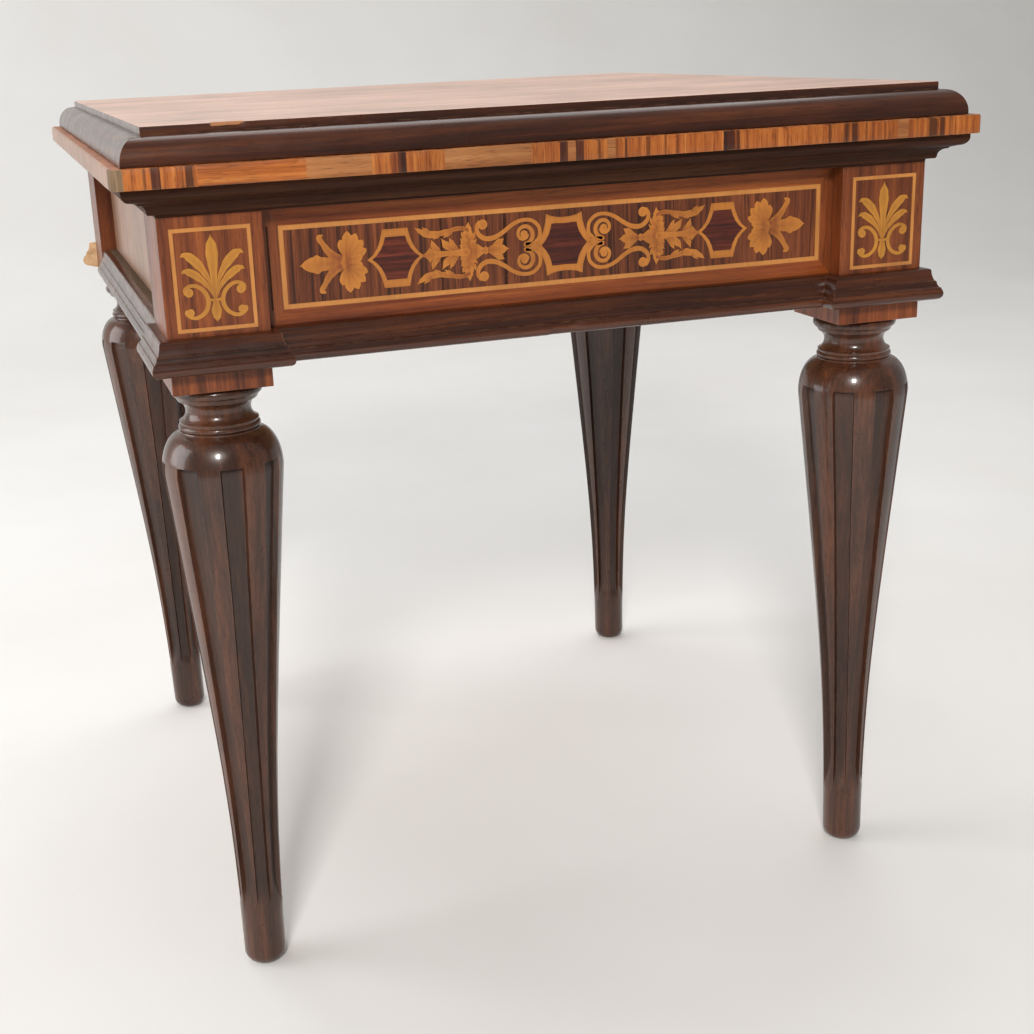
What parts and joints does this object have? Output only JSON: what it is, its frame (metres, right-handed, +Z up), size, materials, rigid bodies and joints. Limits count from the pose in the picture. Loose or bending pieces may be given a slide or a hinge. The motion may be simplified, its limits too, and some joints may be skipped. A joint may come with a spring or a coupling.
{
  "type": "table-form cylinder music box",
  "caption": "Square inlaid side table on turned, fluted legs, with a hinged top over a lever-wound cylinder music movement, comb and fan governor.",
  "frame": {"origin": "on the floor, under the centre of the square plan of the table", "axes": "+Z up, +X to the right, the front faces -Y"},
  "size_m": [0.543, 0.543, 0.55],
  "materials": {
    "top_veneer": "polished veneer, worn",
    "rosewood_veneer": "polished rosewood veneer",
    "cross_banding": "striped cross-banded veneer, worn",
    "dark_moulding": "gloss polish",
    "leg_wood": "gloss polish",
    "inlay": "polished light veneer",
    "carcase_wood": "plain, waxed",
    "glass": "clear",
    "brass": "lacquered",
    "steel": "brushed",
    "blued_steel": "heat-blued",
    "iron": "japanned",
    "cement": "hard resin cement"
  },
  "bodies": {
    "case": {"leg_front_left": "leg_wood", "leg_front_right": "leg_wood", "leg_back_left": "leg_wood", "leg_back_right": "leg_wood", "leg_blocks": "rosewood_veneer", "leg_bolts": "steel", "corner_posts": "rosewood_veneer", "panel_front": "rosewood_veneer", "panel_right": "rosewood_veneer", "panel_back": "rosewood_veneer", "panel_left": "rosewood_veneer", "cornice_mouldings": "dark_moulding", "base_mouldings": "dark_moulding", "bottom_board": "carcase_wood", "partitions": "carcase_wood", "movement_rails": "carcase_wood", "case_hinge_leaves": "brass", "case_hinge_screws": "brass", "hinge_pins": "steel", "glass_frame": "dark_moulding", "glass_pane": "glass", "bedplate": "iron", "movement_screws": "blued_steel", "comb_base": "brass", "comb": "steel", "left_bridge": "brass", "middle_bridge": "brass", "right_bridge": "brass", "governor_frame": "brass", "governor_cocks": "brass"},
    "lid": {"top_board": "top_veneer", "top_mouldings": "dark_moulding", "banded_board": "cross_banding", "lid_hinge_leaves": "brass", "lid_hinge_screws": "brass"},
    "winding_lever": {"winding_lever": "brass", "winding_knob": "dark_moulding"},
    "winding_pawl": {"winding_pawl": "steel"},
    "click": {"click": "steel"},
    "barrel_arbor": {"barrel_arbor": "steel", "ratchet_wheels": "steel"},
    "barrel": {"barrel_drum": "brass", "barrel_cover": "brass", "mainspring": "steel"},
    "cylinder_train": {"cylinder_arbor": "steel", "cylinder_pinion": "steel", "great_wheel": "brass"},
    "change_star": {"change_star": "brass"},
    "cylinder": {"cylinder_tube": "brass", "cylinder_caps": "brass", "cylinder_cement": "cement"},
    "second_train": {"second_arbor": "steel", "second_wheel": "brass"},
    "third_train": {"third_arbor": "steel", "worm_wheel": "brass"},
    "fan": {"fan_arbor": "steel", "endless_screw": "steel", "fan": "brass"},
    "start_lever": {"start_lever": "brass"},
    "change_lever": {"change_lever": "brass"}
  },
  "joints": [
    {"name": "lid_hinge", "type": "hinge", "parent": "case", "child": "lid", "pos_m": [0, 0.2679, 0.5176], "axis": [-1, 0, 0], "range_deg": [0, 95]},
    {"name": "winding_lever_swing", "type": "hinge", "parent": "case", "child": "winding_lever", "pos_m": [-0.174, -0.02725, 0.47], "axis": [-1, 0, 0], "range_deg": [0, 40]},
    {"name": "winding_pawl_lift", "type": "hinge", "parent": "winding_lever", "child": "winding_pawl", "pos_m": [-0.17, -0.04406, 0.45549], "axis": [-1, 0, 0], "range_deg": [0, 8], "stiffness_Nm_per_rad": 0.002},
    {"name": "click_lift", "type": "hinge", "parent": "case", "child": "click", "pos_m": [-0.157, -0.00566, 0.48615], "axis": [-1, 0, 0], "range_deg": [0, 8], "stiffness_Nm_per_rad": 0.002},
    {"name": "barrel_arbor_turn", "type": "hinge", "parent": "case", "child": "barrel_arbor", "pos_m": [-0.13, -0.02725, 0.47], "axis": [-1, 0, 0], "range_deg": [0, 40]},
    {"name": "cylinder_spin", "type": "hinge", "parent": "case", "child": "cylinder_train", "pos_m": [0, 0.014, 0.47], "axis": [1, 0, 0], "continuous": true},
    {"name": "barrel_spin", "type": "hinge", "parent": "case", "child": "barrel", "pos_m": [-0.118, -0.02725, 0.47], "axis": [1, 0, 0], "continuous": true},
    {"name": "second_spin", "type": "hinge", "parent": "case", "child": "second_train", "pos_m": [0.12, -0.00884, 0.45935], "axis": [1, 0, 0], "continuous": true},
    {"name": "third_spin", "type": "hinge", "parent": "case", "child": "third_train", "pos_m": [0.1275, -0.02009, 0.45935], "axis": [1, 0, 0], "continuous": true},
    {"name": "fan_spin", "type": "hinge", "parent": "case", "child": "fan", "pos_m": [0.1275, -0.02689, 0.47], "axis": [0, 0, 1], "continuous": true},
    {"name": "cylinder_shift", "type": "slide", "parent": "cylinder_train", "child": "cylinder", "axis": [1, 0, 0], "range_m": [0, 0.0024], "stiffness_N_per_m": 300},
    {"name": "change_star_index", "type": "hinge", "parent": "cylinder_train", "child": "change_star", "pos_m": [0.103, 0.01845, 0.48222], "axis": [1, 0, 0], "range_deg": [0, 300]},
    {"name": "start_lever_swing", "type": "hinge", "parent": "case", "child": "start_lever", "pos_m": [0.15, -0.05, 0.437], "axis": [0, 0, -1], "range_deg": [0, 10]},
    {"name": "change_lever_swing", "type": "hinge", "parent": "case", "child": "change_lever", "pos_m": [0.15, 0.046, 0.437], "axis": [0, 0, 1], "range_deg": [0, 8]}
  ],
  "couplings": [
    {"joint": "barrel_arbor_turn", "follows": "winding_lever_swing", "ratio": 1},
    {"joint": "barrel_spin", "follows": "cylinder_spin", "ratio": -0.25},
    {"joint": "second_spin", "follows": "cylinder_spin", "ratio": -5},
    {"joint": "third_spin", "follows": "cylinder_spin", "ratio": 20},
    {"joint": "fan_spin", "follows": "cylinder_spin", "ratio": 320}
  ]
}
